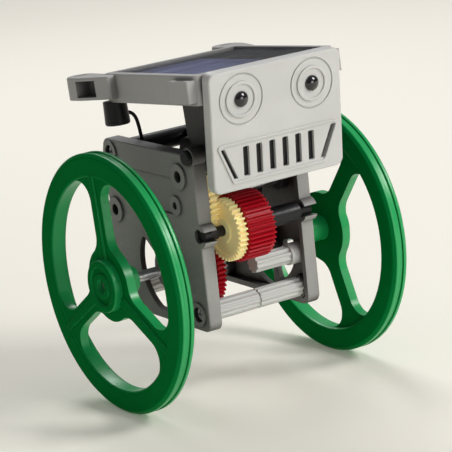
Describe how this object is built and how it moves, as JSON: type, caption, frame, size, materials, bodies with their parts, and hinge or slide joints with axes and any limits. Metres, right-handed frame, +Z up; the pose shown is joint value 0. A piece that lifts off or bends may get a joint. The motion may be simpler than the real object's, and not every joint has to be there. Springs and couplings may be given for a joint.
{
  "type": "solar robot kit",
  "caption": "Two-wheeled toy robot with an open gearbox between side plates, spoked wheels, a slotted face plate and a tilting solar panel head.",
  "frame": {"origin": "on the ground under the middle of the wheel axle", "axes": "+Z up; -Y is the robot's front, where the face looks; +X is the robot's left, along the wheel axle"},
  "size_m": [0.0786, 0.072, 0.0937],
  "materials": {
    "side_gray": "moulded satin",
    "frame_gray": "moulded satin",
    "light_gray": "moulded satin",
    "wheel_green": "glossy moulded",
    "red_plastic": "satin moulded",
    "cream_plastic": "satin moulded",
    "black_plastic": "satin moulded",
    "pupil_black": "glossy",
    "motor_black": "satin black",
    "cap_red": "satin moulded",
    "magnet_gray": "dull",
    "brass_metal": "machined",
    "copper_wire": "enamelled",
    "shaft_steel": "ground",
    "screw_steel": "zinc plated",
    "board_dark": "satin board",
    "cell_blue": "crystalline blue",
    "clear_resin": "clear gloss",
    "wire_black": "satin sleeve",
    "wire_red": "satin sleeve"
  },
  "bodies": {
    "chassis": {"right_side_plate": "side_gray", "left_side_plate": "side_gray", "front_crossbar": "light_gray", "rear_crossbar": "light_gray", "ribbed_post": "light_gray", "chassis_screws": "screw_steel", "head_pivot_pins": "black_plastic", "motor_cradle": "black_plastic", "motor_can": "motor_black", "motor_magnets": "magnet_gray", "motor_end_cap": "black_plastic", "motor_terminals": "brass_metal", "black_wire": "wire_black", "red_wire": "wire_red"},
    "drive_axle": {"wheel_axle": "shaft_steel", "output_gear": "red_plastic", "right_wheel": "wheel_green", "left_wheel": "wheel_green", "wheel_screws": "screw_steel"},
    "front_gear_shaft": {"front_shaft": "black_plastic", "cream_gear": "cream_plastic", "wide_red_gear": "red_plastic"},
    "idler": {"idler_shaft": "shaft_steel", "idler_gear": "cream_plastic"},
    "motor_rotor": {"motor_shaft": "shaft_steel", "motor_armature": "magnet_gray", "motor_windings": "copper_wire", "motor_commutator": "brass_metal", "motor_pinion": "brass_metal"},
    "head": {"face_plate": "light_gray", "eye_pupils": "pupil_black", "face_screws": "screw_steel", "head_bracket": "black_plastic", "bracket_screws": "screw_steel", "solar_frame": "frame_gray", "panel_board": "board_dark", "solar_cells": "cell_blue", "panel_cover": "clear_resin", "black_terminal_cap": "black_plastic", "red_terminal_cap": "cap_red"}
  },
  "joints": [
    {"name": "wheel_spin", "type": "hinge", "parent": "chassis", "child": "drive_axle", "pos_m": [0, 0, 0.036], "axis": [1, 0, 0], "continuous": true},
    {"name": "front_shaft_spin", "type": "hinge", "parent": "chassis", "child": "front_gear_shaft", "pos_m": [0, -0.01845, 0.04807], "axis": [1, 0, 0], "continuous": true},
    {"name": "idler_spin", "type": "hinge", "parent": "chassis", "child": "idler", "pos_m": [0, -0.00893, 0.05525], "axis": [1, 0, 0], "continuous": true},
    {"name": "rotor_spin", "type": "hinge", "parent": "chassis", "child": "motor_rotor", "pos_m": [0, 0.0015, 0.06011], "axis": [1, 0, 0], "continuous": true},
    {"name": "head_tilt", "type": "hinge", "parent": "chassis", "child": "head", "pos_m": [0, -0.0174, 0.0694], "axis": [1, 0, 0], "range_deg": [-6, 25], "deforming": ["black_wire", "red_wire"]}
  ],
  "couplings": [
    {"joint": "front_shaft_spin", "follows": "wheel_spin", "ratio": -1.7222},
    {"joint": "idler_spin", "follows": "wheel_spin", "ratio": 5.2991},
    {"joint": "rotor_spin", "follows": "wheel_spin", "ratio": -25.171}
  ]
}
